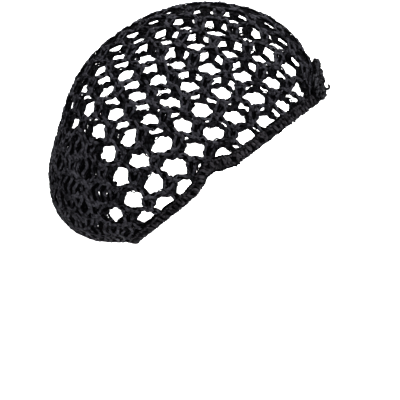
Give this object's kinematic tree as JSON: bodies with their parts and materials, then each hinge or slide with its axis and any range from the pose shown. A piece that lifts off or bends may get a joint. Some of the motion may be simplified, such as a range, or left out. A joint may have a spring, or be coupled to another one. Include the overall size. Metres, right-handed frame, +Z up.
{
  "type": "hairnet",
  "caption": "Worn crocheted hairnet: a rounded open-mesh bag on a slanting close-worked edge band, scrunched into a ruffle over the forehead.",
  "frame": {"origin": "the crown seat: the point inside the top of the bag where the wearer's head bears", "axes": "+X to the wearer's face, +Y to the wearer's left, +Z up; the bag is a mirror image of itself across the X-Z plane"},
  "size_m": [0.2685, 0.173, 0.2316],
  "materials": {
    "crochet_yarn": "black ribbon-like yarn, dull with a faint silky sheen, worked into open meshes",
    "close_worked_yarn": "the same black yarn in close rows of stitches over a hidden elastic",
    "bunched_yarn": "the same black yarn, bunched in soft rolls with small loops"
  },
  "bodies": {
    "root": {"mesh_net": "crochet_yarn", "edge_band": "close_worked_yarn", "front_ruffle": "bunched_yarn"}
  },
  "joints": []
}
